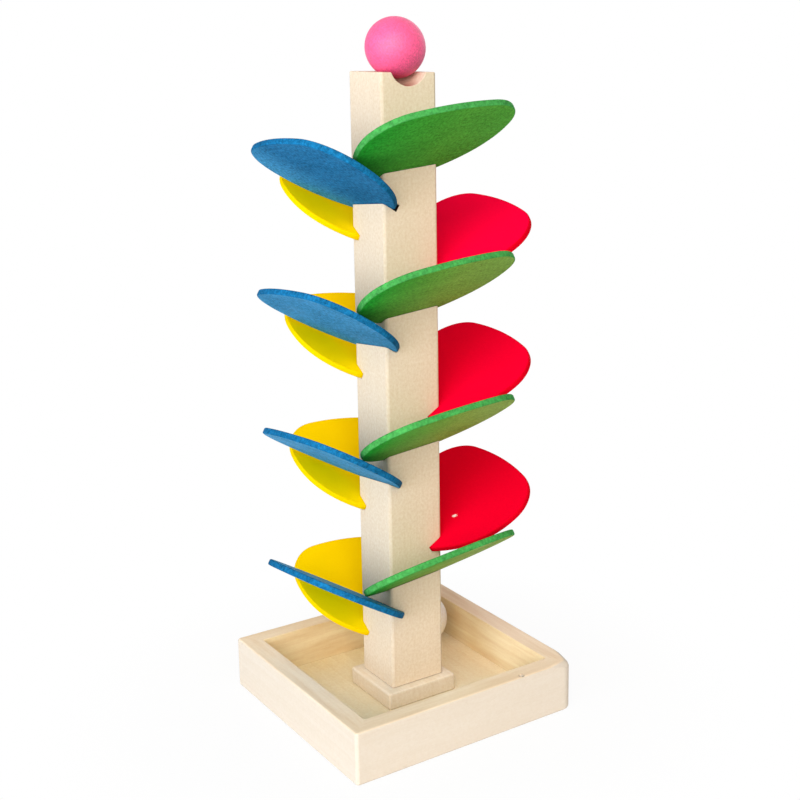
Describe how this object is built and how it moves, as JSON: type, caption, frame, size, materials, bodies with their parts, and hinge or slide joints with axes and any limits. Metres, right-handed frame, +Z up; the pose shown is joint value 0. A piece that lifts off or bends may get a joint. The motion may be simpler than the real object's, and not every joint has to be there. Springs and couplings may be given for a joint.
{
  "type": "tree marble run",
  "caption": "Wooden tree marble run: square post on a tray, painted petals set in sloping kerfs winding down its faces, and loose balls that roll from petal to petal",
  "frame": {"origin": "middle of the tray's underside, where the toy stands", "axes": "+Z up along the post; -Y is the front face with the launch groove and the green petals, -X the blue, +Y the yellow and +X the red petals"},
  "size_m": [0.1264, 0.1264, 0.3455],
  "materials": {
    "pale_wood": "sanded pale beech or birch, matt clear coat",
    "warm_wood": "thin plywood panel, warmer than the rails, matt",
    "ball_wood": "turned plain wood, satin",
    "pink_paint": "turned wood, pink stain with satin lacquer",
    "green_paint": "thin plywood, green satin paint",
    "blue_paint": "thin plywood, blue satin paint",
    "yellow_paint": "thin plywood, yellow satin paint",
    "red_paint": "thin plywood, red satin paint",
    "steel": "zinc plated"
  },
  "bodies": {
    "stand": {"tray_floor": "warm_wood", "tray_rail_front": "pale_wood", "tray_rail_right": "pale_wood", "tray_rail_back": "pale_wood", "tray_rail_left": "pale_wood", "plinth": "pale_wood", "post_screw": "steel", "post": "pale_wood", "green_petal_1": "green_paint", "blue_petal_1": "blue_paint", "yellow_petal_1": "yellow_paint", "red_petal_1": "red_paint", "green_petal_2": "green_paint", "blue_petal_2": "blue_paint", "yellow_petal_2": "yellow_paint", "red_petal_2": "red_paint", "green_petal_3": "green_paint", "blue_petal_3": "blue_paint", "yellow_petal_3": "yellow_paint", "red_petal_3": "red_paint", "green_petal_4": "green_paint", "blue_petal_4": "blue_paint", "yellow_petal_4": "yellow_paint"},
    "launch_ball": {"pink_ball": "pink_paint"},
    "tray_ball": {"wood_ball": "ball_wood"}
  },
  "joints": [
    {"name": "launch_ball_roll", "type": "slide", "parent": "stand", "child": "launch_ball", "axis": [0, -1, 0], "range_m": [0, 0.0133]},
    {"name": "tray_ball_roll", "type": "slide", "parent": "stand", "child": "tray_ball", "axis": [0, -1, 0], "range_m": [0, 0.0766]}
  ]
}
